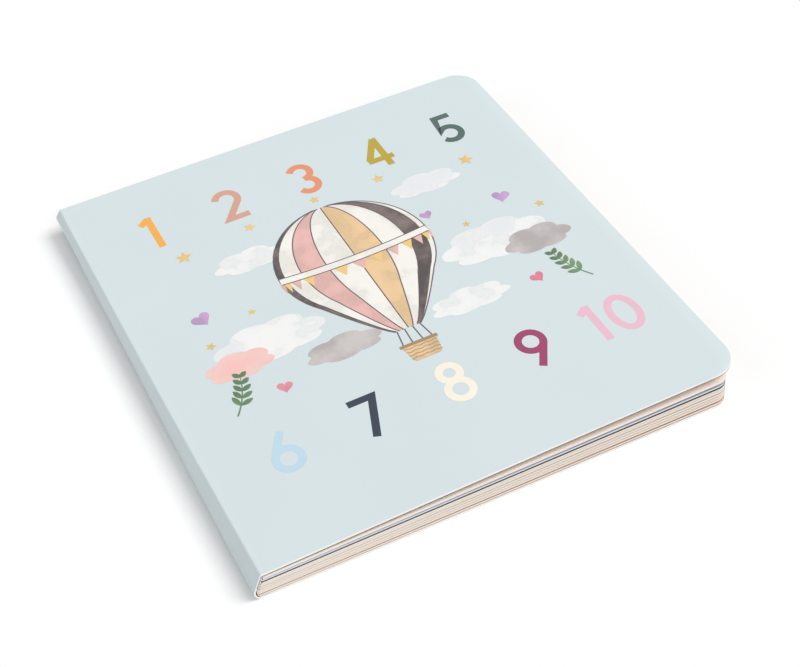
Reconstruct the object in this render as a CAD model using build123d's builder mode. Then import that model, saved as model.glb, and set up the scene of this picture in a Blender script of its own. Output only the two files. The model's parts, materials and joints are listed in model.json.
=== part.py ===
from build123d import *
from math import cos, degrees, radians, sin, tan
import os

# A board book lying on its back cover, with the front cover standing ajar.
# X runs from the spine to the fore-edge, Y from the tail to the head, Z up.
# Lengths are millimetres, and the origin is under the middle of the book.

# Boards
board_width = 167.0          # from the fold to the fore-edge, both covers
board_height = 180.0         # from tail to head
board_thickness = 1.1        # two plies of card
corner_radius = 9.5          # the two fore-edge corners of the front cover
block_corner_radius = 5.5    # the same corners of the leaves and the back cover
ajar_angle = 1.92            # how far the front cover stands up, in degrees

# Leaves, counted from the back cover
leaf_thickness = 1.0
leaf_inset = 0.3             # how far the lowest leaf stays behind the back cover
leaf_step = 0.25             # how far each leaf stays behind the one below
gutter_gap = 0.06            # between two leaves, beside their fold
page_gaps = [0.42, 0.42, 0.25, 0.42, 0.38, 0.32, 0.85]   # the same at the fore-edge
leaf_count = len(page_gaps) + 1
back_gap = 0.2               # from the back cover to the lowest leaf, at the spine
back_gap_fore = 0.5          # the same at the fore-edge
front_gap = 0.18             # from the top leaf to the front cover, at the spine

# Folds at the back of the block
fold_bulge = 0.4             # how far each fold stands out behind its leaves
fold_clearance = 0.15        # from the folds to the inside of the spine

# Spine panel, one ply of the wrap
spine_thickness = 0.6
spine_lean = 21.0            # degrees from upright, foot outwards
spine_bend_radius = 3.2      # outer radius of the bend above the back fold
hinge_clearance = 0.3        # between the spine panel and a cover, over its whole swing
bend_turn = 48.0             # how far the bend turns, in degrees

# Heights of the pieces at the spine
bead_radius = board_thickness / 2
block_foot = board_thickness + back_gap
leaf_pitch = leaf_thickness + gutter_gap
block_top = block_foot + leaf_count * leaf_pitch - gutter_gap
front_hinge_z = block_top + front_gap + bead_radius
back_hinge_z = bead_radius

# The spine panel's outer face starts beside the front fold, runs down and outwards
# in a straight line, and bends back in above the back cover
front_hinge_x = bead_radius
panel_top_z = front_hinge_z - bead_radius - hinge_clearance
panel_top_x = -(front_hinge_z - panel_top_z) * tan(radians(spine_lean))
panel_foot_z = board_thickness + hinge_clearance
bend_drop = spine_bend_radius * (
    sin(radians(spine_lean)) + sin(radians(bend_turn - spine_lean))
)
panel_run = (panel_top_z - panel_foot_z - bend_drop) / cos(radians(spine_lean))
bend_out = spine_bend_radius * (1 - cos(radians(spine_lean)))
spine_left_x = panel_top_x - panel_run * sin(radians(spine_lean)) - bend_out

# The back fold lies under the bend
back_fold_inset = 0.85       # from the outermost line of the spine to the back fold
back_fold_x = spine_left_x + back_fold_inset
back_hinge_x = back_fold_x + bead_radius

# Fore-edge of the front cover, and the middle of the book between it and the spine
fore_edge_x = (
    front_hinge_x
    + (board_width - bead_radius) * cos(radians(ajar_angle))
    + bead_radius * sin(radians(ajar_angle))
)
middle_x = (spine_left_x + fore_edge_x) / 2


os.makedirs("parts", exist_ok=True)


def board_plane(x, z, tilt):
    """Plane of a board's lower face, with X along the board from its spine side."""
    lean = radians(tilt)
    return Plane(
        origin=(x - middle_x, -board_height / 2, z),
        x_dir=(cos(lean), 0, sin(lean)),
        z_dir=(-sin(lean), 0, cos(lean)),
    )


def board_outline(length, radius):
    """A board seen from above: square at the spine, rounded at the fore-edge."""
    with BuildSketch() as outline:
        Rectangle(length, board_height, align=(Align.MIN, Align.MIN))
        fillet(outline.vertices().group_by(Axis.X)[-1], radius=radius)
    return outline.sketch


def side_plane():
    """The tail end of the book, with sketch X along the book and sketch Y up."""
    return Plane(origin=(-middle_x, board_height / 2, 0), x_dir=(1, 0, 0), z_dir=(0, -1, 0))


# Front cover: a board that turns on its rounded edge at the front fold
front_plane = board_plane(front_hinge_x, front_hinge_z, ajar_angle)
with BuildPart() as front_cover:
    with BuildSketch(front_plane.offset(-bead_radius)):
        add(board_outline(board_width - bead_radius, corner_radius))
    extrude(amount=board_thickness)
    with BuildSketch(side_plane()):
        with Locations((front_hinge_x, front_hinge_z)):
            Circle(bead_radius)
    extrude(amount=board_height)
front_cover.part.label = "front_cover"
export_step(front_cover.part, "parts/front_cover.step")

# Back cover: the same board the other way up, flat on the table
back_plane = board_plane(back_hinge_x, 0, 0)
with BuildPart() as back_cover:
    with BuildSketch(back_plane):
        add(board_outline(board_width - bead_radius, block_corner_radius))
    extrude(amount=board_thickness)
    with BuildSketch(side_plane()):
        with Locations((back_hinge_x, back_hinge_z)):
            Circle(bead_radius)
    extrude(amount=board_height)
back_cover.part.label = "back_cover"
export_step(back_cover.part, "parts/back_cover.step")

# Spine panel: a straight run of single card with a bend at its foot, and a hollow
# between it and the folds of the block
with BuildPart() as spine:
    with BuildSketch(side_plane()):
        with BuildLine():
            run = PolarLine((panel_top_x, panel_top_z), panel_run, -90 - spine_lean)
            bend = JernArc(run @ 1, run % 1, spine_bend_radius, bend_turn)
            inner_bend = JernArc(
                run @ 1 + (run % 1).rotate(Axis.Z, 90) * spine_thickness,
                run % 1,
                spine_bend_radius - spine_thickness,
                bend_turn,
            )
            Line(bend @ 1, inner_bend @ 1)
            inner_run = Line(inner_bend @ 0, run @ 0 + (run % 0).rotate(Axis.Z, 90) * spine_thickness)
            Line(inner_run @ 1, run @ 0)
        make_face()
    extrude(amount=board_height)
spine.part.label = "spine"
export_step(spine.part, "parts/spine.step")


def panel_inside_x(z):
    """Where the inner face of the spine's straight run is at a height."""
    drop = panel_top_z - z
    lean = radians(spine_lean)
    return panel_top_x - drop * tan(lean) + spine_thickness / cos(lean)


# Page block: folded sheets glued back to back. Each leaf fans a little further up
# than the one below, and each fold bulges out behind the two leaves that it joins
fold_radius = leaf_pitch / 2
fold_reach = fold_radius - fold_bulge
block_back_x = panel_inside_x(block_foot + leaf_count * leaf_pitch / 2)
fold_x = [
    max(panel_inside_x(block_foot + level * leaf_pitch), block_back_x) + fold_clearance + fold_radius
    for level in range(leaf_count + 1)
]
with BuildPart() as page_block:
    tilt = (back_gap_fore - back_gap) / board_width
    for leaf in range(leaf_count):
        leaf_z = block_foot + leaf * leaf_pitch
        leaf_x = max(fold_x[leaf], fold_x[leaf + 1]) - fold_reach
        leaf_end_x = back_hinge_x + board_width - bead_radius - leaf_inset - leaf * leaf_step
        leaf_plane = board_plane(leaf_x, leaf_z, degrees(tilt))
        with BuildSketch(leaf_plane):
            add(board_outline(leaf_end_x - leaf_x, block_corner_radius))
        extrude(amount=leaf_thickness)
        if leaf < leaf_count - 1:
            tilt += (page_gaps[leaf] - gutter_gap) / board_width
            with BuildSketch(side_plane()):
                with Locations((fold_x[leaf + 1], leaf_z + leaf_pitch)):
                    Circle(fold_radius)
            extrude(amount=board_height)
page_block.part.label = "page_block"
export_step(page_block.part, "parts/page_block.step")
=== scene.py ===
"""A board book for babies: its wrap, its leaves, the print on the cover and a studio."""

import json
import math

import bmesh
import bpy
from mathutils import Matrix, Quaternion, Vector


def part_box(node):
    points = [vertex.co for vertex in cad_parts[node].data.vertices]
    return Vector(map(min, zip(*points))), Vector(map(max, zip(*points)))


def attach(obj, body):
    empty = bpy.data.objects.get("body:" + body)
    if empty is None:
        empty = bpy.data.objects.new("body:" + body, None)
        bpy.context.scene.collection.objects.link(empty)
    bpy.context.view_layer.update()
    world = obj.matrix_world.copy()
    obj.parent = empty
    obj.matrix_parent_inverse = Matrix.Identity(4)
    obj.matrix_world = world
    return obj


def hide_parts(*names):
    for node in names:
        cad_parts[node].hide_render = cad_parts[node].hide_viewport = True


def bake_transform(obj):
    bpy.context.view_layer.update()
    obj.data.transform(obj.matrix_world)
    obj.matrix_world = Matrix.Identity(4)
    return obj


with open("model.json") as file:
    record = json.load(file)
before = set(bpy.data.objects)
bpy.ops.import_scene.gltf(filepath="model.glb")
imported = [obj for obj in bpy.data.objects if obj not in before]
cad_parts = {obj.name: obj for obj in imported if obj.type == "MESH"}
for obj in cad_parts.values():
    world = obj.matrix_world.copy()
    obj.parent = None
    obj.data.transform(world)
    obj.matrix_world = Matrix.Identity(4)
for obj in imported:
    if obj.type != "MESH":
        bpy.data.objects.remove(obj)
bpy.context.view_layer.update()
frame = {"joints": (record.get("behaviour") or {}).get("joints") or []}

bl_info = {
    "name": "Board Book",
    "version": (1, 0, 0),
    "blender": (4, 5, 0),
    "location": "View3D > Sidebar > Board Book",
    "description": "Builds the cover, leaves and print of a board book around its frame",
    "category": "Mesh",
}

MM = 0.001
HINGES = {joint["name"]: joint for joint in frame["joints"]}
FRONT_HINGE = Vector(HINGES["front_cover_hinge"]["pos_m"])
BACK_HINGE = Vector(HINGES["back_cover_hinge"]["pos_m"])
COVER_LOW, COVER_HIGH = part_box("front_cover")
BACK_LOW, BACK_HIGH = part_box("back_cover")
SPINE_LOW, SPINE_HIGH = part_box("spine")
BLOCK_LOW, BLOCK_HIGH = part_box("page_block")


# Properties

def millimetres(name, description, default):
    """A length that the user can change, with its default in millimetres."""
    return bpy.props.FloatProperty(
        name=name, description=description, default=default * MM,
        subtype="DISTANCE", unit="LENGTH")


def degrees(name, description, default):
    """An angle that the user can change, with its default in degrees."""
    return bpy.props.FloatProperty(
        name=name, description=description, default=math.radians(default),
        subtype="ANGLE", unit="ROTATION")


def paint(name, description, default):
    """A linear colour that the user can change."""
    return bpy.props.FloatVectorProperty(
        name=name, description=description, default=default, subtype="COLOR")


class BookSizes(bpy.types.PropertyGroup):
    """Sizes of the boards that the frame doesn't give."""

    board: millimetres("Board thickness", "Two plies of card, as in the covers", 1.1)
    ply: millimetres("Ply thickness", "Single card of the spine panel", 0.6)
    leaf: millimetres("Leaf thickness", "Two plies glued back to back", 1.0)
    corner: millimetres("Corner radius", "Rounding of the front cover's fore-edge corners", 9.5)
    block_corner: millimetres(
        "Block corner radius", "The same of the lowest leaf and the back cover", 5.5)
    fold: millimetres("Fold radius", "Outer radius of the card at its folds", 0.75)
    nook: millimetres("Nook radius", "Inner radius of the card at its folds", 0.12)
    crease: millimetres("Crease depth", "Pressed line beside the front fold", 0.05)
    fold_bow: millimetres("Fold bow", "How far the middle of the front fold bulges out", 0.5)
    foot_tuck: millimetres("Foot tuck", "How far the spine's foot is drawn in at the head", 3.2)
    shoulder: millimetres(
        "Shoulder", "How far the spine stands out under the front fold at the head", 0.7)
    spine_lean: degrees("Spine lean", "How far the spine panel leans out at its foot", 21.0)
    spine_bend: millimetres("Spine bend", "Outer radius of the bend above the back fold", 3.2)
    bend_turn: degrees("Spine bend turn", "How far the spine panel turns in that bend", 48.0)
    dome: millimetres("Cover dome", "How far the middle of the front cover bows up", 0.5)
    print_step: millimetres(
        "Print step", "Height of one layer of print above the one below", 0.02)


class BookColours(bpy.types.PropertyGroup):
    """Colours of the card and the print."""

    cover: paint("Cover", "Pale blue of the wrap", (0.655, 0.736, 0.760))
    core: paint("Board core", "Cut edge of the leaves", (0.88, 0.81, 0.75))
    card: paint("Card edge", "Cut edge of the wrap", (0.95, 0.93, 0.90))
    cream: paint("Cream", "Pale gores and the belt", (0.93, 0.90, 0.85))
    charcoal: paint("Charcoal", "Dark gores and ropes", (0.085, 0.068, 0.068))
    blush: paint("Blush", "Pink gores and cloud", (0.82, 0.50, 0.46))
    tan: paint("Tan", "Basket and one pair of gores", (0.86, 0.60, 0.34))
    lilac: paint("Lilac", "Hearts", (0.60, 0.38, 0.66))
    gold: paint("Gold", "Stars and pennants", (0.86, 0.60, 0.22))
    green: paint("Green", "Sprigs of leaves", (0.12, 0.20, 0.10))


def sizes():
    """Sizes in the scene's property group."""
    return bpy.context.scene.book_sizes


def colours():
    """Colours in the scene's property group."""
    return bpy.context.scene.book_colours


def srgb(red, green, blue):
    """Linear colour from the 0 to 255 values of a screen."""
    def linear(value):
        value /= 255.0
        return value / 12.92 if value <= 0.04045 else ((value + 0.055) / 1.055) ** 2.4
    return linear(red), linear(green), linear(blue)


# Shader maths

class Value:
    """A number that varies over a surface; sums on it add Math nodes."""

    def __init__(self, nodes, socket):
        self.nodes = nodes
        self.socket = socket

    def _math(self, operation, first, second):
        return self.nodes.add("ShaderNodeMath", {"operation": operation}, {0: first, 1: second})[0]

    def __add__(self, other):
        return self._math("ADD", self, other)

    __radd__ = __add__

    def __sub__(self, other):
        return self._math("SUBTRACT", self, other)

    def __rsub__(self, other):
        return self._math("SUBTRACT", other, self)

    def __mul__(self, other):
        return self._math("MULTIPLY", self, other)

    __rmul__ = __mul__


class Nodes:
    """The node tree of one material, or of the world, with its main shader."""

    def __init__(self, owner, kind="BSDF_PRINCIPLED"):
        owner.use_nodes = True
        self.owner = owner
        self.tree = owner.node_tree
        self.shader = next(node for node in self.tree.nodes if node.type == kind)

    def add(self, kind, settings=None, inputs=None):
        """Adds a node: its settings first, then values or links; gives its outputs."""
        node = self.tree.nodes.new(kind)
        for key, value in (settings or {}).items():
            if key == "stops":
                ramp = node.color_ramp
                while len(ramp.elements) < len(value):
                    ramp.elements.new(1.0)
                for element, (place, colour) in zip(ramp.elements, value):
                    element.position = place
                    element.color = (*colour, 1.0)
            else:
                setattr(node, key, value)
        for key, value in (inputs or {}).items():
            self.feed(node.inputs[key], value)
        return [Value(self, socket) for socket in node.outputs if socket.enabled]

    def feed(self, socket, value):
        """Links a varying value to a socket, or sets a plain one on it."""
        if isinstance(value, Value):
            self.tree.links.new(value.socket, socket)
        elif hasattr(value, "__len__") and len(socket.default_value) == len(value) + 1:
            socket.default_value = (*value, 1.0)
        else:
            socket.default_value = value

    def mix(self, factor, first, second):
        """Colour between two colours."""
        return self.add(
            "ShaderNodeMix", {"data_type": "RGBA"}, {0: factor, 6: first, 7: second})[0]

    def noise(self, scale, detail, stretch=None):
        """Noise over the places stored with the mesh, in cycles a metre; it may be stretched."""
        place = self.add("ShaderNodeAttribute", {"attribute_name": "place"})[1]
        if stretch:
            place = self.add("ShaderNodeMapping", {}, {"Vector": place, "Scale": stretch})[0]
        return self.add(
            "ShaderNodeTexNoise", {}, {"Vector": place, "Scale": scale, "Detail": detail})[0]

    def surface(self, colour, roughness, height=None, distance=0.0, **constants):
        """Sets the shader from a colour, a roughness and a height for the bump."""
        self.feed(self.shader.inputs["Base Color"], colour)
        self.feed(self.shader.inputs["Roughness"], roughness)
        for key, value in constants.items():
            self.shader.inputs[key.replace("_", " ")].default_value = value
        if height is not None:
            normal = self.add(
                "ShaderNodeBump", {}, {"Strength": 1.0, "Distance": distance, "Height": height})[0]
            self.feed(self.shader.inputs["Normal"], normal)
        return self.owner


def fresh(name):
    """Nodes of a new material."""
    return Nodes(bpy.data.materials.new(name))


def shade(colour, factor):
    """A colour made lighter or darker."""
    return tuple(min(1.0, part * factor) for part in colour)


def laminated_card(name, colour):
    """Printed card under a matt laminate: faint mottling, fine fibre and handling marks."""
    nodes = fresh(name)
    cloud = nodes.noise(22.0, 3.0)
    fibre = nodes.noise(1400.0, 4.0)
    tone = nodes.mix(cloud, shade(colour, 0.972), shade(colour, 1.022))
    smudge = nodes.noise(60.0, 5.0)
    return nodes.surface(tone, 0.40 + 0.16 * smudge, fibre, 0.006 * MM, Specular_IOR_Level=0.42)


def plain_print(name, colour):
    """One flat ink with the grain of the card showing through."""
    nodes = fresh(name)
    grain = nodes.noise(900.0, 4.0)
    cloud = nodes.noise(160.0, 3.0)
    tone = nodes.mix(grain * 0.5 + cloud * 0.5, shade(colour, 0.92), shade(colour, 1.06))
    return nodes.surface(tone, 0.42 + 0.1 * cloud, grain, 0.004 * MM, Specular_IOR_Level=0.42)


def watercolour(name, colour, wash, amount):
    """Ink with pools of a second pigment, dried darker at their rims."""
    nodes = fresh(name)
    pool = nodes.noise(95.0, 6.0)
    soft = nodes.add(
        "ShaderNodeValToRGB",
        {"stops": [(0.40, (0.0, 0.0, 0.0)), (0.64, (1.0, 1.0, 1.0))]}, {0: pool})[0]
    rim = nodes.add(
        "ShaderNodeValToRGB",
        {"stops": [(0.50, (0.0, 0.0, 0.0)), (0.53, (1.0, 1.0, 1.0)), (0.56, (0.0, 0.0, 0.0))]},
        {0: pool})[0]
    grain = nodes.noise(1100.0, 3.0)
    washed = nodes.mix(soft * amount, colour, wash)
    rimmed = nodes.mix(rim * (amount * 0.35), washed, shade(wash, 0.8))
    tone = nodes.mix(grain * 0.22, rimmed, shade(colour, 0.82))
    return nodes.surface(tone, 0.44, grain, 0.004 * MM, Specular_IOR_Level=0.42)


def cut_board(name, colour):
    """Trimmed edge of the board: fibres drawn along the cut, with small rough spots."""
    nodes = fresh(name)
    along = nodes.noise(260.0, 4.0, stretch=(0.12, 0.12, 9.0))
    fuzz = nodes.noise(2600.0, 3.0)
    blot = nodes.noise(45.0, 2.0)
    tone = nodes.mix(along, shade(colour, 0.86), shade(colour, 1.07))
    tone = nodes.mix(blot * 0.25, tone, shade(colour, 0.90))
    return nodes.surface(tone, 0.86, along * 0.7 + fuzz * 0.3, 0.03 * MM, Specular_IOR_Level=0.2)


# Meshes

def make_piece(name, bm, materials):
    """Turns a mesh into a piece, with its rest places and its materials."""
    mesh = bpy.data.meshes.new(name)
    bm.to_mesh(mesh)
    bm.free()
    mesh.shade_smooth()
    places = mesh.attributes.new("place", "FLOAT_VECTOR", "POINT")
    for vertex, place in zip(mesh.vertices, places.data):
        place.vector = vertex.co
    for material in materials:
        mesh.materials.append(material)
    piece = bpy.data.objects.new(name, mesh)
    bpy.context.scene.collection.objects.link(piece)
    return piece


def make_board(name, bm, materials, round_edges=0.0, rim=0, keep_sharp=None):
    """Makes a piece of cut card, with its edges rounded if asked."""
    bmesh.ops.recalc_face_normals(bm, faces=bm.faces)
    if round_edges:
        sharp = [
            edge for edge in bm.edges
            if len(edge.link_faces) == 2 and edge.calc_face_angle() > math.radians(38)
            and not keep_sharp(edge)
        ]
        bmesh.ops.bevel(
            bm, geom=sharp, offset=round_edges, offset_type="OFFSET", segments=2,
            profile=0.5, affect="EDGES", clamp_overlap=True, material=rim)
    piece = make_piece(name, bm, materials)
    piece.data.set_sharp_from_angle(angle=math.radians(32))
    return piece


def add_shell(bm, point, columns, rows, layers, skin, rim):
    """Adds a closed board: a grid of columns and rows, a few layers thick.

    point gives the place of a column, row and layer. skin holds the materials of the
    first and last layer, and rim one material for each layer's edge."""
    grid = {}
    for i in range(columns):
        for j in range(rows):
            for k in range(layers):
                if i in (0, columns - 1) or j in (0, rows - 1) or k in (0, layers - 1):
                    grid[i, j, k] = bm.verts.new(Vector(point(i, j, k)) * MM)

    def face(corners, material):
        bm.faces.new([grid[corner] for corner in corners]).material_index = material

    for i in range(columns - 1):
        for j in range(rows - 1):
            for k, material in ((0, skin[0]), (layers - 1, skin[1])):
                face([(i, j, k), (i + 1, j, k), (i + 1, j + 1, k), (i, j + 1, k)], material)
    for k in range(layers - 1):
        for i in range(columns - 1):
            for j in (0, rows - 1):
                face([(i, j, k), (i + 1, j, k), (i + 1, j, k + 1), (i, j, k + 1)], rim[k])
        for j in range(rows - 1):
            for i in (0, columns - 1):
                face([(i, j, k), (i, j + 1, k), (i, j + 1, k + 1), (i, j, k + 1)], rim[k])


def unit(angle):
    """Direction at an angle above X, in the X-Z plane."""
    return Vector((math.cos(angle), 0.0, math.sin(angle)))


def normal(angle):
    """Direction square to that one, upwards."""
    return Vector((-math.sin(angle), 0.0, math.cos(angle)))


def crossing(first, first_angle, second, second_angle):
    """Where two lines of the X-Z plane cross."""
    gap = second - first
    slope = unit(second_angle)
    along = unit(first_angle)
    turn = along.x * slope.z - along.z * slope.x
    return first + along * ((gap.x * slope.z - gap.z * slope.x) / turn)


def arc(centre, radius, first, last, steps):
    """Points on an arc of the X-Z plane."""
    return [
        centre + unit(first + (last - first) * step / steps) * radius for step in range(steps + 1)
    ]


def rounded(corner, into, away, radius, steps):
    """Points of a fillet where a line at one angle turns into a line at another."""
    turn = math.remainder(away - into, 2 * math.pi)
    side = math.copysign(1.0, turn)
    reach = radius * math.tan(abs(turn) / 2)
    centre = corner - unit(into) * reach + normal(into) * (radius * side)
    first = into - side * math.pi / 2
    return arc(centre, radius, first, first + turn, steps)


def cross_rows(half, radius, straight, turned):
    """Heights along the fore-edge, from the tail to the head, closer round the corners."""
    middle = half - radius
    corner = [middle + radius * math.sin(math.pi / 2 * step / turned) for step in range(turned + 1)]
    inner = [-middle + 2 * middle * step / straight for step in range(1, straight)]
    return [-value for value in reversed(corner)] + inner + corner


def ease(share):
    """Smooth step from 0 to 1."""
    share = min(1.0, max(0.0, share))
    return share * share * (3 - 2 * share)


def corner_cut(y, half, radius):
    """How far the fore-edge is cut back at a height by its round corners."""
    past = max(0.0, abs(y) - (half - radius))
    return radius - math.sqrt(max(0.0, radius * radius - past * past))


# The wrap and the leaves, in millimetres

# Height below which the spine is drawn in, and the height and spread of its shoulder
TUCK_TOP = 8.0
SHOULDER_HEIGHT, SHOULDER_SPREAD = 8.2, 2.0
# Distance of the crease from the front hinge, and its spread
CREASE_PLACE, CREASE_SPREAD = 1.55, 0.45
# Rows of points along the narrow strips at the leaves' folds and the gutters
STRIP_ROWS = 17


class Book:
    """Lines of the book's section, from the frame's boxes and joints."""

    def __init__(self):
        size = sizes()
        for name in (
            "board", "ply", "leaf", "corner", "block_corner", "fold", "nook", "crease",
            "fold_bow", "foot_tuck", "shoulder", "spine_bend", "dome", "print_step",
        ):
            setattr(self, name, getattr(size, name) / MM)
        self.half = COVER_HIGH.y / MM
        self.lean = math.pi / 2 - size.spine_lean
        self.bend_turn = size.bend_turn
        self.front = FRONT_HINGE / MM
        self.back = BACK_HINGE / MM
        reach = COVER_HIGH.x / MM - self.front.x
        rise = COVER_HIGH.z / MM - self.front.z
        self.length = math.sqrt(reach * reach + rise * rise - (self.board / 2) ** 2)
        self.ajar = math.atan2(rise, reach) - math.atan2(self.board / 2, self.length)
        self.back_length = BACK_HIGH.x / MM - self.back.x
        self.rows = cross_rows(self.half, self.corner, 34, 10)
        self.block_rows = cross_rows(self.half, self.block_corner, 34, 10)

    def tuck(self, y, z):
        """How far the spine and the leaves are drawn in, towards the head and the foot."""
        along = (y + self.half) / (2 * self.half)
        head = 0.2 + 0.8 * ease(along) + 0.35 * ease((y - 50) / 38)
        return self.foot_tuck * head * max(0.0, (TUCK_TOP - z) / TUCK_TOP) ** 1.3

    def skew(self, y, z):
        """How far the wrap's spine is moved from its plain section."""
        bulge = self.fold_bow * (1 - (y / self.half) ** 2) * ease((z - 3.0) / 7.0)
        near = math.exp(-((z - SHOULDER_HEIGHT) / SHOULDER_SPREAD) ** 2)
        bulge += self.shoulder * ease((y - 40) / 48) * near
        return self.tuck(y, z) - bulge

    def cover(self, along, y, height):
        """A point of the front cover: distance from the hinge, Y, height over its middle."""
        share = min(1.0, max(0.0, along / self.length))
        bow = self.dome * math.sin(math.pi * share) * (1 - 0.35 * (y / self.half) ** 2)
        bow -= self.crease * math.exp(-((along - CREASE_PLACE) / CREASE_SPREAD) ** 2)
        point = self.front + unit(self.ajar) * along + normal(self.ajar) * (height + bow)
        return Vector((point.x, y, point.z))

    def strip_y(self, row):
        """Y of a row of one of the narrow strips."""
        return self.half * (2 * row / (STRIP_ROWS - 1) - 1)


def front_wrap_lines(book):
    """Outer and inner line of the upper half of the wrap, up to the hinge."""
    panel = book.front - Vector((book.board / 2, 0, 0))
    top = book.front + normal(book.ajar) * (book.board / 2)
    under = book.front - normal(book.ajar) * (book.board / 2)
    inside = panel - normal(book.lean) * book.ply
    corner = crossing(panel, book.lean, top, book.ajar)
    nook = crossing(inside, book.lean, under, book.ajar)
    outer = rounded(corner, book.lean, book.ajar, book.fold, 9)
    inner = rounded(nook, book.lean, book.ajar, book.nook, 9)
    middle_z = (SPINE_LOW.z + SPINE_HIGH.z) / MM / 2
    seam = panel + unit(book.lean) * ((middle_z - panel.z) / math.sin(book.lean))
    seam_in = seam - normal(book.lean) * book.ply
    return seam, seam_in, outer, inner


def back_wrap_lines(book):
    """Outer and inner line of the lower half of the wrap, down to the back fold."""
    seam, seam_in, _, _ = front_wrap_lines(book)
    bend, turn = book.spine_bend, book.bend_turn
    lean_out = math.pi / 2 - book.lean
    run_end_z = SPINE_LOW.z / MM + bend * (math.sin(lean_out) + math.sin(turn - lean_out))
    run_end = seam + unit(book.lean) * ((run_end_z - seam.z) / math.sin(book.lean))
    centre = run_end + Vector((math.cos(lean_out), 0, -math.sin(lean_out))) * bend
    first = math.pi - lean_out
    outer = arc(centre, bend, first, first + turn, 10)
    inner = arc(centre, bend - book.ply, first, first + turn, 10)
    heading = math.pi + book.lean + turn
    foot = crossing(outer[-1], heading, Vector((0, 0, 0)), 0.0)
    nook = crossing(inner[-1], heading, Vector((0, 0, book.board)), 0.0)
    outer += rounded(foot, heading, 2 * math.pi, book.fold, 8)
    inner += rounded(nook, heading, 2 * math.pi, book.nook, 8)
    return seam, seam_in, outer, inner


# Where a cover's thickness is divided, outside in: its glue line, and on the front the inner band
# of the cut edge that holds the painted shade of the gap under the cover
FRONT_LAYERS = (0.0, 0.42, 0.48, 0.66, 1.0)
BACK_LAYERS = (0.0, 0.47, 0.53, 1.0)


def wrap_mesh(book, lines, runs, flat_columns, rows, layers, rim, flat):
    """Mesh of one half of the wrap, from its seam on the spine to the fore-edge.

    runs counts the columns from the seam to the bend, and flat gives a point of the cover
    from its share of the length, its Y, its share of the thickness and the bend's end."""
    seam, seam_in, outer, inner = lines
    outer = [seam.lerp(outer[0], step / runs) for step in range(runs)] + outer
    inner = [seam_in.lerp(inner[0], step / runs) for step in range(runs)] + inner
    bent = len(outer)

    def point(i, j, k):
        y = rows[j]
        share = layers[k]
        place = outer[min(i, bent - 1)].lerp(inner[min(i, bent - 1)], share)
        place = place + Vector((book.skew(y, place.z), 0, 0))
        if i < bent:
            return place.x, y, place.z
        step = ((i - bent + 1) / flat_columns) ** 1.8
        return flat(step, y, share, place)

    bm = bmesh.new()
    add_shell(bm, point, bent + flat_columns, len(rows), len(layers), (0, 1), rim)
    return bm


# Gaps at the fore-edge: under the lowest leaf, and between the leaves from there up
FIRST_GAP = 0.3
PAGE_GAPS = (0.42, 0.42, 0.25, 0.42, 0.38, 0.32, 0.85)
# Gap between the leaves at their folds, and the length over which they open
FOLD_GAP, OPEN_LENGTH = 0.06, 167
# Screen colours of the printed faces from the back cover up, and of the painted shade under the
# front cover's edge
SPREADS = (
    (206, 184, 168), (172, 134, 96), (234, 220, 206), (214, 200, 180), (214, 194, 174),
    (240, 228, 214), (26, 27, 33), (176, 181, 190), (242, 229, 217),
)
# Painted shade: a dark band on the inner part of the front cover's cut edge stands for the shadow
# in the gap under the cover
INSIDE_EDGE_SHADE = (66, 50, 47)
# Thickness of each face's ink at the cut edge, and tint of each leaf's edge
INK_EDGES = (0.11, 0.14, 0.10, 0.10, 0.10, 0.10, 0.26, 0.13, 0.06)
EDGE_TINTS = (
    (1.0, 0.97, 0.93), (1.0, 0.97, 0.93), (1.0, 1.0, 1.0), (1.0, 1.0, 0.98), (1.0, 1.0, 1.0),
    (1.02, 1.03, 1.02), (0.87, 0.96, 1.08), (1.03, 1.09, 1.15),
)
# How much shorter each leaf is than the one below, and how much smaller its round corner is
LEAF_STEP, CORNER_STEP = 0.25, 0.16


def leaf_tilt(number):
    """Slope of a leaf, counted from the back cover."""
    return (FIRST_GAP + sum(PAGE_GAPS[:number]) - FOLD_GAP * number) / OPEN_LENGTH


# Operators

class BOARDBOOK_OT_front_wrap(bpy.types.Operator):
    """Builds the front cover and the upper half of the spine as one folded card"""
    bl_idname = "board_book.front_wrap"
    bl_label = "Front cover and fold"

    def execute(self, context):
        book = Book()
        tint = colours()
        lines = front_wrap_lines(book)
        seam_z = lines[0].z * MM

        def flat(step, y, share, last):
            first = (last - book.front).dot(unit(book.ajar))
            end = book.length - corner_cut(y, book.half, book.corner)
            return book.cover(first + (end - first) * step, y, book.board * (0.5 - share))

        piece = make_board(
            "front_wrap",
            wrap_mesh(book, lines, 5, 54, book.rows, FRONT_LAYERS, (2, 3, 2, 4), flat),
            [
                laminated_card("cover_print", tint.cover),
                laminated_card("inside_print", srgb(*SPREADS[-1])),
                cut_board("board_edge", tint.card),
                cut_board("ply_line", shade(tint.card, 0.86)),
                # painted shade: the inner band of the cut edge is dark for the shadow in the gap
                # under the cover
                cut_board("inside_edge_painted_shade", srgb(*INSIDE_EDGE_SHADE)),
            ],
            0.10 * MM, 2,
            lambda edge: all(vert.co.z < seam_z + 0.3 * MM for vert in edge.verts))
        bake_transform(piece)
        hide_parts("front_cover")
        return {"FINISHED"}


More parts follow.
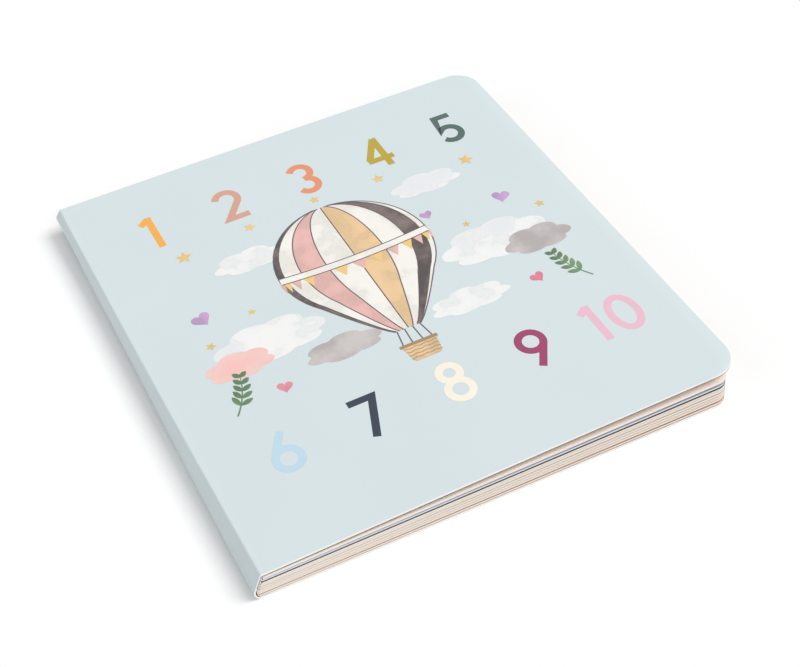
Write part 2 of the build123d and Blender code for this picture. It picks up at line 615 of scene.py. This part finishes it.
class BOARDBOOK_OT_back_wrap(bpy.types.Operator):
    """Builds the back cover and the lower half of the spine as one folded card"""
    bl_idname = "board_book.back_wrap"
    bl_label = "Back cover and fold"

    def execute(self, context):
        book = Book()
        tint = colours()
        lines = back_wrap_lines(book)
        seam_z = lines[0].z * MM

        def flat(step, y, share, last):
            end = BACK_HIGH.x / MM - corner_cut(y, book.half, book.block_corner)
            return last.x + (end - last.x) * step, y, book.board * share

        piece = make_board(
            "back_wrap",
            wrap_mesh(book, lines, 3, 24, book.block_rows, BACK_LAYERS, (2, 3, 2), flat),
            [
                laminated_card("back_print", tint.cover),
                laminated_card("back_inside_print", srgb(*SPREADS[0])),
                cut_board("back_board_edge", tint.card),
                cut_board("back_ply_line", shade(tint.card, 0.86)),
            ],
            0.10 * MM, 2,
            lambda edge: all(vert.co.z > seam_z - 0.3 * MM for vert in edge.verts))
        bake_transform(piece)
        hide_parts("back_cover", "spine")
        return {"FINISHED"}


class BOARDBOOK_OT_leaves(bpy.types.Operator):
    """Builds the eight card leaves with their printed faces and the folds behind them"""
    bl_idname = "board_book.leaves"
    bl_label = "Leaves"

    def execute(self, context):
        book = Book()
        tint = colours()
        pitch = book.leaf + FOLD_GAP
        foot = BLOCK_LOW.z / MM
        panel = book.front - Vector((book.board / 2, 0, 0)) - normal(book.lean) * book.ply

        def inside(z):
            return crossing(panel, book.lean, Vector((0, 0, z)), 0.0).x

        count = len(PAGE_GAPS) + 1
        back = inside(foot + 2.6 * pitch)
        radius = pitch / 2
        folds = [
            max(inside(foot + level * pitch), back) + 0.15 + radius for level in range(count + 1)]
        materials = []
        for number, tinge in enumerate(EDGE_TINTS):
            edge = tuple(part * share for part, share in zip(tint.core, tinge))
            materials.append(cut_board(f"leaf_edge_{number}", edge))
            materials.append(cut_board(f"leaf_glue_{number}", shade(edge, 0.88)))
        inks = len(materials)
        for number, screen in enumerate(SPREADS):
            materials.append(laminated_card(f"spread_{number}", srgb(*screen)))
        bm = bmesh.new()
        columns = 20
        for leaf in range(count):
            tilt = leaf_tilt(leaf)
            start = max(folds[leaf], folds[leaf + 1]) - radius + 0.4
            end = book.back.x + book.back_length - 0.3 - leaf * LEAF_STEP
            base = Vector((start, 0, foot + leaf * pitch))
            corner = book.block_corner - CORNER_STEP * leaf
            layers = (
                0.0, INK_EDGES[leaf], 0.47, 0.53, book.leaf - INK_EDGES[leaf + 1], book.leaf)

            def point(i, j, k, base=base, end=end, tilt=tilt, layers=layers, corner=corner):
                y = book.block_rows[j]
                first = base + Vector((book.tuck(y, base.z), 0, 0))
                length = end - first.x - corner_cut(y, book.half, corner)
                place = first + unit(tilt) * (length * i / (columns - 1))
                place += normal(tilt) * layers[k]
                return place.x, y, place.z

            low, high = inks + leaf, inks + leaf + 1
            edge, glue = 2 * leaf, 2 * leaf + 1
            add_shell(
                bm, point, columns, len(book.block_rows), len(layers), (low, high),
                (low, edge, glue, edge, high))
        piece = make_board("leaves", bm, materials)
        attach(piece, "block")
        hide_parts("page_block")

        bm = bmesh.new()
        for level in range(1, count):
            centre = Vector((folds[level], 0, foot + level * pitch - 0.03))
            bow = arc(centre, radius, math.pi / 2, math.pi * 3 / 2, 12)
            hollow = arc(centre, 0.10, math.pi / 2, math.pi * 3 / 2, 12)

            def fold_point(i, j, k, bow=bow, hollow=hollow):
                y = book.strip_y(j)
                place = bow[i].lerp(hollow[i], k)
                return place.x + book.tuck(y, place.z), y, place.z

            add_shell(bm, fold_point, len(bow), STRIP_ROWS, 2, (0, 1), (0,))
        folds_piece = make_board(
            "leaf_folds", bm,
            [
                cut_board("fold_board", shade(tint.core, 0.97)),
                # painted shade: the hollow of each leaf fold is the board colour darkened for the
                # shade between the leaves
                cut_board("fold_hollow_painted_shade", shade(tint.core, 0.7)),
            ])
        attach(folds_piece, "block")
        return {"FINISHED"}


# How far a gutter's strip runs onto a leaf and onto a cover, and its thickness
GUTTER_REACH, GUTTER_CARD = 2.4, 0.03


def gutter(name, book, low, high, slant, x, colour):
    """A thin folded strip that joins a cover's inside to the nearest leaf at the gutter."""
    runs = [GUTTER_REACH * step / 10 for step in range(1, 11)]
    below = [Vector((x + run, 0, low + run * slant[0])) for run in reversed(runs)]
    above = [Vector((x + run, 0, high + run * slant[1])) for run in runs]
    card = Vector((0, 0, GUTTER_CARD))
    centre = Vector((x, 0, (low + high) / 2))
    radius = (high - low) / 2
    bow, hollow = (
        arc(centre, size, -math.pi / 2, -math.pi * 3 / 2, 8) for size in (radius, radius - card.z))
    outer = below + bow + above
    inner = [place + card for place in below] + hollow + [place - card for place in above]

    def point(i, j, k):
        place = outer[i].lerp(inner[i], k)
        y = book.strip_y(j)
        return place.x + book.tuck(y, place.z), y, place.z

    bm = bmesh.new()
    add_shell(bm, point, len(outer), STRIP_ROWS, 2, (0, 0), (0,))
    return make_board(name, bm, [laminated_card(name + "_print", srgb(*colour))])


class BOARDBOOK_OT_gutters(bpy.types.Operator):
    """Builds the folds of the first and last sheet between the covers and the leaves"""
    bl_idname = "board_book.gutters"
    bl_label = "Gutters"

    def execute(self, context):
        book = Book()
        leaf_top = SPINE_HIGH.z / MM + 0.12
        top_tilt = leaf_tilt(len(PAGE_GAPS))
        inside_z = book.front.z - book.board / 2
        front = gutter(
            "front_gutter", book, leaf_top, inside_z,
            (top_tilt, math.tan(book.ajar)), book.front.x - 0.02, SPREADS[-1])
        lean = (top_tilt + math.tan(book.ajar)) / 2
        rise = (inside_z - leaf_top) * 0.8
        centre = Vector((book.front.x, 0, (leaf_top + inside_z) / 2))
        up = Vector((-lean, 0, 1)) * (rise / 2)
        (centre - up) * MM
        (centre + up) * MM
        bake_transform(front)
        foot = BLOCK_LOW.z / MM
        back = gutter(
            "back_gutter", book, book.board, foot,
            (0.0, leaf_tilt(0)), book.back.x + 0.3, SPREADS[0])
        centre = Vector((book.back.x, 0, (book.board + foot) / 2))
        up = Vector((-0.001, 0, 1)) * ((foot - book.board) * 0.4)
        (centre + up) * MM
        (centre - up) * MM
        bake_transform(back)
        return {"FINISHED"}


# Print on the front cover

class Print:
    """Flat shapes laid on the front cover, measured from the fold and from the tail."""

    def __init__(self, book):
        self.book = book
        self.bm = bmesh.new()
        self.materials = []
        self.step = book.print_step

    def ink(self, material):
        """Number of a material, which is added if it is new."""
        if material not in self.materials:
            self.materials.append(material)
        return self.materials.index(material)

    def vertex(self, along, across, layer):
        """A point of print on a layer above the cover."""
        height = self.book.board / 2 + self.step * layer
        place = self.book.cover(along - self.book.board / 2, across - self.book.half, height)
        return self.bm.verts.new(place * MM)

    def strip(self, left, right, layer, material):
        """Fills between two lines of as many points."""
        ink = self.ink(material)
        pairs = [(self.vertex(*a, layer), self.vertex(*b, layer)) for a, b in zip(left, right)]
        for (a, b), (c, d) in zip(pairs, pairs[1:]):
            corners = [a, b, d, c]
            if (a.co - b.co).length < 1e-7:
                corners.remove(b)
            elif (c.co - d.co).length < 1e-7:
                corners.remove(d)
            self.bm.faces.new(corners).material_index = ink

    def patch(self, outline, centre, layer, material, rings):
        """Fills a shape that can be seen whole from its centre."""
        ink = self.ink(material)
        middle = Vector(centre)
        loops = [
            [self.vertex(*middle.lerp(Vector(place), loop / rings), layer) for place in outline]
            for loop in range(1, rings + 1)]
        hub = self.vertex(*centre, layer)
        count = len(outline)
        for step in range(count):
            after = (step + 1) % count
            self.bm.faces.new([hub, loops[0][step], loops[0][after]]).material_index = ink
            for inner, outer in zip(loops, loops[1:]):
                face = self.bm.faces.new([inner[step], outer[step], outer[after], inner[after]])
                face.material_index = ink

    def stroke(self, path, width, layer, material, taper=0.0):
        """A line of an even width, or thinner towards its end; it may close on itself."""
        points = [Vector(point) for point in path]
        count = len(points)
        across = []
        for first, second in zip(points, points[1:]):
            along = (second - first).normalized()
            across.append(Vector((-along.y, along.x)))
        closed = (points[0] - points[-1]).length < 1e-4
        left, right = [], []
        for step, point in enumerate(points):
            before = across[step - 1 if step or closed else 0]
            after = across[step % (count - 1) if closed else min(count - 2, step)]
            side = (before + after).normalized()
            reach = width / 2 * (1 - taper * step / (count - 1)) / max(0.45, side.dot(before))
            left.append(point + side * reach)
            right.append(point - side * reach)
        self.strip(left, right, layer, material)

    def finish(self, name):
        """Makes the piece, which rides on the front cover."""
        for face in self.bm.faces:
            face.normal_update()
            if face.normal.z < 0:
                face.normal_flip()
        piece = make_piece(name, self.bm, self.materials)
        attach(piece, "front_cover")
        return piece


def ring(centre, radius, first, last, steps):
    """Points on a circle or part of one, angles in degrees."""
    turns = [math.radians(first + (last - first) * step / steps) for step in range(steps + 1)]
    return [
        (centre[0] + radius * math.cos(turn), centre[1] + radius * math.sin(turn))
        for turn in turns]


def line(first, last, steps=4):
    """Points on a straight line."""
    return [
        (first[0] + (last[0] - first[0]) * step / steps,
         first[1] + (last[1] - first[1]) * step / steps)
        for step in range(steps + 1)
    ]


def numeral(digit):
    """Width and strokes of a plain numeral, one unit tall."""
    oval = [(0.33 + 0.27 * x, 0.5 + 0.43 * y) for x, y in ring((0, 0), 1, 0, 360, 24)]
    swan = ring((0.30, 0.69), 0.24, 165, -38, 14)
    bowl = ring((0.28, 0.315), 0.24, 134, -145, 16)
    return {
        "0": (0.66, [oval]),
        "1": (0.34, [line((0.02, 0.80), (0.22, 0.95)), line((0.22, 1.0), (0.22, 0.0))]),
        "2": (0.60, [swan + line(swan[-1], (0.13, 0.076), 3)[1:] + [(0.58, 0.076)]]),
        "3": (0.60, [
            ring((0.28, 0.71), 0.22, 155, -90, 14), ring((0.29, 0.275), 0.215, 90, -155, 14)]),
        "4": (0.66, [
            line((0.44, 0.0), (0.44, 1.0)), line((0.44, 0.97), (0.06, 0.30)),
            line((0.02, 0.28), (0.62, 0.28))]),
        "5": (0.60, [[(0.54, 0.924), (0.175, 0.924), (0.118, 0.47)] + bowl[1:]]),
        "6": (0.62, [ring((0.31, 0.315), 0.245, 0, 360, 24), line((0.42, 0.97), (0.09, 0.42))]),
        "7": (0.58, [[(0.0, 0.924), (0.50, 0.924), (0.16, 0.0)]]),
        "8": (0.60, [
            ring((0.30, 0.725), 0.20, 0, 360, 22), ring((0.30, 0.275), 0.235, 0, 360, 24)]),
        "9": (0.62, [ring((0.31, 0.685), 0.245, 0, 360, 24), line((0.20, 0.03), (0.53, 0.58))]),
    }[digit]


NUMERAL_COLOURS = (
    (244, 175, 80), (211, 163, 143), (229, 148, 112), (187, 162, 60), (80, 103, 96),
    (190, 217, 232), (48, 58, 72), (250, 241, 224), (157, 65, 105), (236, 188, 204),
)


class BOARDBOOK_OT_numerals(bpy.types.Operator):
    """Prints the numerals one to ten in two straight rows"""
    bl_idname = "board_book.numerals"
    bl_label = "Numerals"

    def execute(self, context):
        sheet = Print(Book())
        tall, spacing = 17.0, 0.16
        for number in range(1, 11):
            low, column = (143.0, number - 1) if number < 6 else (29.5, number - 6)
            middle = 25.0 + column * 29.5
            material = plain_print(f"numeral_{number}", srgb(*NUMERAL_COLOURS[number - 1]))
            glyphs = [numeral(digit) for digit in str(number)]
            width = sum(wide for wide, _ in glyphs) + spacing * (len(glyphs) - 1)
            x = middle - width * tall / 2
            for wide, strokes in glyphs:
                for order, stroke in enumerate(strokes):
                    points = [(x + px * tall, low + py * tall) for px, py in stroke]
                    sheet.stroke(points, 2.6, 1 + order * 0.3, material)
                x += (wide + spacing) * tall
        sheet.finish("print_numerals")
        return {"FINISHED"}


# Middle and radius of the balloon's round top, and the depth and half width of its mouth
BALLOON = (82.0, 106.0)
BALLOON_RADIUS, BALLOON_TAIL, BALLOON_MOUTH = 28.0, 40.0, 4.6


def balloon_half(share):
    """Half width of the balloon, from its mouth at 0 to its crown at 1, and the height there."""
    touch = math.asin(BALLOON_RADIUS / BALLOON_TAIL * 0.93)
    if share < 0.42:
        t = share / 0.42
        end_x = BALLOON_RADIUS * math.cos(touch)
        end_y = -BALLOON_RADIUS * math.sin(touch)
        width = BALLOON_MOUTH + (end_x - BALLOON_MOUTH) * t ** 0.86
        return width, -BALLOON_TAIL + (end_y + BALLOON_TAIL) * t
    angle = -touch + (math.pi / 2 + touch) * (share - 0.42) / 0.58
    return BALLOON_RADIUS * math.cos(angle), BALLOON_RADIUS * math.sin(angle)


class BOARDBOOK_OT_balloon(bpy.types.Operator):
    """Prints a hot-air balloon with painted gores, a belt, ropes and a basket"""
    bl_idname = "board_book.balloon"
    bl_label = "Balloon"

    def execute(self, context):
        sheet = Print(Book())
        tint = colours()
        cx, cy = BALLOON
        paints = [
            watercolour("gore_cream", tint.cream, shade(tint.cream, 0.78), 0.7),
            watercolour("gore_charcoal", tint.charcoal, (0.30, 0.24, 0.22), 0.8),
            watercolour("gore_blush", tint.blush, shade(tint.blush, 0.72), 0.6),
            watercolour("gore_tan", tint.tan, shade(tint.tan, 0.72), 0.6),
        ]
        order = (1, 0, 2, 0, 3, 0, 1, 0)
        rows = 36
        levels = [balloon_half(row / rows) for row in range(rows + 1)]

        def meridian(place):
            bend = math.sin(place * math.pi / 2)
            return [(cx + half * bend, cy + height) for half, height in levels]

        gores = len(order)
        for number, paint in enumerate(order):
            left = meridian(-1 + 2 * number / gores)
            right = meridian(-1 + 2 * (number + 1) / gores)
            middle = meridian(-1 + 2 * (number + 0.5) / gores)
            sheet.strip(left, middle, 3, paints[paint])
            sheet.strip(middle, right, 3, paints[paint])
        ink = watercolour("balloon_line", shade(tint.charcoal, 1.4), (0.22, 0.18, 0.17), 0.5)
        for number in range(gores + 1):
            sheet.stroke(meridian(-1 + 2 * number / gores)[:-1], 0.42, 4, ink)
        belt = watercolour("balloon_belt", tint.cream, shade(tint.cream, 0.84), 0.6)
        trim = plain_print("belt_trim", tint.gold)
        half, height = balloon_half(0.60)
        pennants = 13
        for turn in range(pennants):
            angle = (-1 + 2 * (turn + 0.5) / pennants) * math.pi / 2
            wide = 0.5 + 2.2 * math.cos(angle)
            x = cx + half * math.sin(angle)
            y = cy + height - 2.9 - 1.6 * (1 - math.sin(angle) ** 2)
            flag = [(x - wide, y + 1.6), (x + wide, y + 1.6), (x, y - 3.4)]
            sheet.patch(flag, (x, y), 5, trim if turn % 2 else paints[2], 1)
        angles = [(-1 + step / 12) * math.pi / 2 for step in range(25)]
        band = [
            (cx + half * math.sin(angle), cy + height - 1.6 * math.cos(angle) ** 2)
            for angle in angles]
        sheet.stroke(band, 3.0, 5.4, belt)
        for shift in (-1.5, 1.5):
            sheet.stroke([(x, y + shift) for x, y in band], 0.4, 5.8, ink)
        mouth = cy + levels[0][1]
        rope = plain_print("balloon_rope", shade(tint.charcoal, 1.6))
        for side in (-1, -0.35, 0.35, 1):
            ends = (cx + 4.2 * side, mouth), (cx + 5.4 * side, mouth - 7.5)
            sheet.stroke(line(*ends), 0.42, 3.6, rope)
        weave = watercolour("basket", tint.tan, shade(tint.tan, 0.6), 0.7)
        top, low = mouth - 7.2, mouth - 14.6
        corners = [
            (cx - 6.2, top), (cx - 5.2, low + 1.0), (cx - 4.4, low),
            (cx + 4.4, low), (cx + 5.2, low + 1.0), (cx + 6.2, top)]
        sheet.patch(corners, (cx, (top + low) / 2), 4.2, weave, 2)
        dark = plain_print("basket_weave", shade(tint.tan, 0.42))
        for row in range(1, 5):
            y = top - row * 1.5
            reach = 6.0 - 0.16 * row
            cane = [
                (cx - reach + reach * step / 6, y + 0.22 * math.sin(step * 1.7 + row))
                for step in range(13)]
            sheet.stroke(cane, 0.3, 4.8, dark)
        sheet.stroke(line((cx - 6.8, top), (cx + 6.8, top)), 1.3, 5.0, dark)
        sheet.finish("print_balloon")
        return {"FINISHED"}


def blob(centre, wide, high, lobes, depth, spin):
    """Outline of a soft lobed shape, flatter below."""
    points = []
    for step in range(72):
        angle = math.tau * step / 72
        reach = 1 - depth + depth * abs(math.sin(lobes * (angle + spin) / 2)) ** 0.7
        flat = 1.0 if math.sin(angle) > 0 else 0.72
        points.append((
            centre[0] + wide * reach * math.cos(angle),
            centre[1] + high * reach * flat * math.sin(angle)))
    return points


class BOARDBOOK_OT_clouds(bpy.types.Operator):
    """Prints soft clouds behind and beside the balloon"""
    bl_idname = "board_book.clouds"
    bl_label = "Clouds"

    def execute(self, context):
        sheet = Print(Book())
        tint = colours()
        white = watercolour("cloud_white", (0.90, 0.90, 0.89), (0.72, 0.76, 0.78), 0.6)
        grey = watercolour("cloud_grey", (0.46, 0.42, 0.42), (0.66, 0.62, 0.60), 0.8)
        pink = watercolour("cloud_pink", shade(tint.blush, 1.12), (0.88, 0.70, 0.66), 0.8)
        places = (
            ((40, 82), 20, 10.5, 7, 0.20, 0.3, white, 1.0),
            ((27, 77), 12, 7, 6, 0.20, 0.9, pink, 1.4),
            ((128, 88), 21, 11, 7, 0.20, 0.1, white, 1.0),
            ((141, 82), 13, 7.5, 6, 0.20, 0.5, grey, 1.4),
            ((49, 121), 13, 6.5, 6, 0.22, 0.4, white, 1.0),
            ((121, 127), 14, 6.5, 6, 0.22, 0.8, white, 1.0),
            ((60, 68), 14, 6.5, 6, 0.20, 0.2, grey, 1.2),
            ((106, 67), 15, 6.5, 7, 0.20, 0.6, white, 1.2),
        )
        for centre, wide, high, lobes, depth, spin, paint, layer in places:
            sheet.patch(blob(centre, wide, high, lobes, depth, spin), centre, layer, paint, 4)
        sheet.finish("print_clouds")
        return {"FINISHED"}


def placed(points, centre, angle):
    """Points turned by an angle and moved to a centre."""
    across, up = math.cos(angle), math.sin(angle)
    return [(centre[0] + x * across - y * up, centre[1] + x * up + y * across) for x, y in points]


def heart(centre, size, tilt):
    """Outline of a small heart."""
    points = []
    for step in range(36):
        a = math.tau * step / 36
        y = (13 * math.cos(a) - 5 * math.cos(2 * a) - 2 * math.cos(3 * a) - math.cos(4 * a)) / 16
        points.append((size * math.sin(a) ** 3, size * y))
    return placed(points, centre, tilt)


def star(centre, size, tilt):
    """Outline of a small star with five points."""
    reaches = [size * (0.48 if step % 2 else 1.0) for step in range(10)]
    points = [
        (reach * math.sin(math.tau * step / 10), reach * math.cos(math.tau * step / 10))
        for step, reach in enumerate(reaches)]
    return placed(points, centre, -tilt)


def leaf_shape(root, length, wide, angle):
    """Outline and middle of a pointed leaf."""
    half = [
        (length * step / 8, wide / 2 * math.sin(math.pi * step / 8) ** 0.8) for step in range(8)]
    points = half + [(length - x, -y) for x, y in half]
    return placed(points, root, angle), placed([(length / 2, 0)], root, angle)[0]


class BOARDBOOK_OT_sprigs(bpy.types.Operator):
    """Prints small hearts, stars and sprigs of leaves in the sky"""
    bl_idname = "board_book.sprigs"
    bl_label = "Hearts, stars and sprigs"

    def execute(self, context):
        sheet = Print(Book())
        tint = colours()
        lilac = watercolour("heart_lilac", tint.lilac, shade(tint.lilac, 0.6), 0.7)
        rose = watercolour("heart_rose", (0.70, 0.20, 0.28), (0.82, 0.42, 0.44), 0.7)
        gold = watercolour("star_gold", tint.gold, shade(tint.gold, 0.7), 0.6)
        green = watercolour("sprig_green", tint.green, shade(tint.green, 2.0), 0.7)
        for centre, size, tilt, paint in (
            ((24, 103), 3.4, 0.3, lilac), ((141, 108), 3.2, -0.3, lilac),
            ((36, 62), 2.6, -0.2, rose), ((131, 66), 2.6, 0.25, rose),
            ((113, 112), 2.3, 0.1, lilac),
        ):
            sheet.patch(heart(centre, size, tilt), centre, 2, paint, 2)
        for centre, size, tilt in (
            ((30, 134), 3.0, 0.2), ((56, 137), 2.2, 0.5), ((107, 138), 2.4, 0.1),
            ((140, 132), 3.0, 0.4), ((22, 90), 1.9, 0.6), ((151, 98), 2.0, 0.1),
            ((82, 139), 2.0, 0.0), ((40, 98), 1.6, 0.3), ((123, 101), 1.6, 0.4),
            ((82, 53.5), 1.4, 0.2),
        ):
            sheet.patch(star(centre, size, tilt), centre, 2, gold, 1)
        for x, y, heading, bend in ((18, 58, 0.9, 0.045), (148, 58, 2.2, -0.045)):
            stem = []
            for step in range(13):
                stem.append((x, y))
                x += 1.5 * math.cos(heading)
                y += 1.5 * math.sin(heading)
                heading += bend
                if step in (2, 4, 6, 8, 10):
                    for side in (1, -1):
                        outline, middle = leaf_shape(
                            (x, y), 5.2 - step * 0.2, 1.9, heading + side * 0.8)
                        sheet.patch(outline, middle, 2.4, green, 1)
            sheet.stroke(stem, 0.6, 2.2, green, 0.6)
        sheet.finish("print_sprigs")
        return {"FINISHED"}


# Studio

# Strength of the world on the book, where 1 is the white that the camera sees
AMBIENT = 0.46
# Name, place in the sky, width in degrees and share of the floor's light of each lamp
LAMPS = (
    ("key", (0.60, -0.26, 1.0), 30, 0.44),
    ("front", (0.05, -0.85, 1.0), 32, 0.112),
    ("side", (-1.40, -0.25, 1.0), 32, 0.033),
)
# The camera's target and distance in millimetres, its angles in degrees and its lens
TARGET, DISTANCE = Vector((2.484, -12.582, 0.0)), 509.346
AZIMUTH, ELEVATION, ROLL = math.radians(26.882), math.radians(45.118), math.radians(-0.552)
FOCAL_LENGTH, SENSOR_WIDTH = 67.64, 36.0


class BOARDBOOK_OT_studio(bpy.types.Operator):
    """Sets the floor, soft lamps, world and camera"""
    bl_idname = "board_book.studio"
    bl_label = "Studio"

    def execute(self, context):
        scene = context.scene
        bpy.ops.mesh.primitive_plane_add(size=6.0, location=(0, 0, 0))
        floor = context.active_object
        floor.name = "floor"
        white = fresh("floor_white").surface((0.96, 0.96, 0.96), 0.9, Specular_IOR_Level=0.1)
        floor.data.materials.append(white)
        scene.world = bpy.data.worlds.new("studio")
        sky = Nodes(scene.world, "BACKGROUND")
        rays = {ray.socket.name: ray for ray in sky.add("ShaderNodeLightPath")}
        unseen = (
            (1 - rays["Is Camera Ray"]) * (1 - rays["Is Glossy Ray"])
            * (1 - rays["Is Transmission Ray"]))
        sky.feed(sky.shader.inputs["Color"], (1.0, 1.0, 1.0))
        sky.feed(sky.shader.inputs["Strength"], 1 - unseen * (1 - AMBIENT))
        for name, place, spread, share in LAMPS:
            place = Vector(place).normalized()
            lamp = bpy.data.lights.new(name, "SUN")
            lamp.energy = share * math.pi / place.z
            lamp.angle = math.radians(spread)
            holder = bpy.data.objects.new(name, lamp)
            holder.location = place
            holder.rotation_euler = (-place).to_track_quat("-Z", "Y").to_euler()
            scene.collection.objects.link(holder)
        lens = bpy.data.cameras.new("camera")
        lens.sensor_width = SENSOR_WIDTH
        lens.lens = FOCAL_LENGTH
        camera = bpy.data.objects.new("camera", lens)
        level = -math.cos(ELEVATION)
        away = Vector((
            level * math.sin(AZIMUTH), level * math.cos(AZIMUTH), math.sin(ELEVATION)))
        camera.location = (TARGET + away * DISTANCE) * MM
        roll = Quaternion((0, 0, 1), ROLL)
        camera.rotation_euler = ((-away).to_track_quat("-Z", "Y") @ roll).to_euler()
        scene.collection.objects.link(camera)
        scene.camera = camera
        scene.view_settings.view_transform = "Standard"
        return {"FINISHED"}


# Panel and registration

STEPS = (
    BOARDBOOK_OT_front_wrap, BOARDBOOK_OT_back_wrap, BOARDBOOK_OT_leaves, BOARDBOOK_OT_gutters,
    BOARDBOOK_OT_clouds, BOARDBOOK_OT_balloon, BOARDBOOK_OT_sprigs, BOARDBOOK_OT_numerals,
    BOARDBOOK_OT_studio,
)


class BOARDBOOK_PT_panel(bpy.types.Panel):
    """Lists the book's sizes, colours and building steps"""
    bl_idname = "BOARDBOOK_PT_panel"
    bl_label = "Board Book"
    bl_space_type = "VIEW_3D"
    bl_region_type = "UI"
    bl_category = "Board Book"

    def draw(self, context):
        for group in (context.scene.book_sizes, context.scene.book_colours):
            for name in group.__annotations__:
                self.layout.prop(group, name)
        for step in STEPS:
            self.layout.operator(step.bl_idname)


CLASSES = (BookSizes, BookColours, *STEPS, BOARDBOOK_PT_panel)


def register():
    for item in CLASSES:
        bpy.utils.register_class(item)
    bpy.types.Scene.book_sizes = bpy.props.PointerProperty(type=BookSizes)
    bpy.types.Scene.book_colours = bpy.props.PointerProperty(type=BookColours)


def unregister():
    del bpy.types.Scene.book_colours
    del bpy.types.Scene.book_sizes
    for item in reversed(CLASSES):
        bpy.utils.unregister_class(item)


def main():
    """Builds the book."""
    register()
    for step in STEPS:
        getattr(bpy.ops.board_book, step.bl_idname.split(".")[1])()


if __name__ == "__main__":
    main()
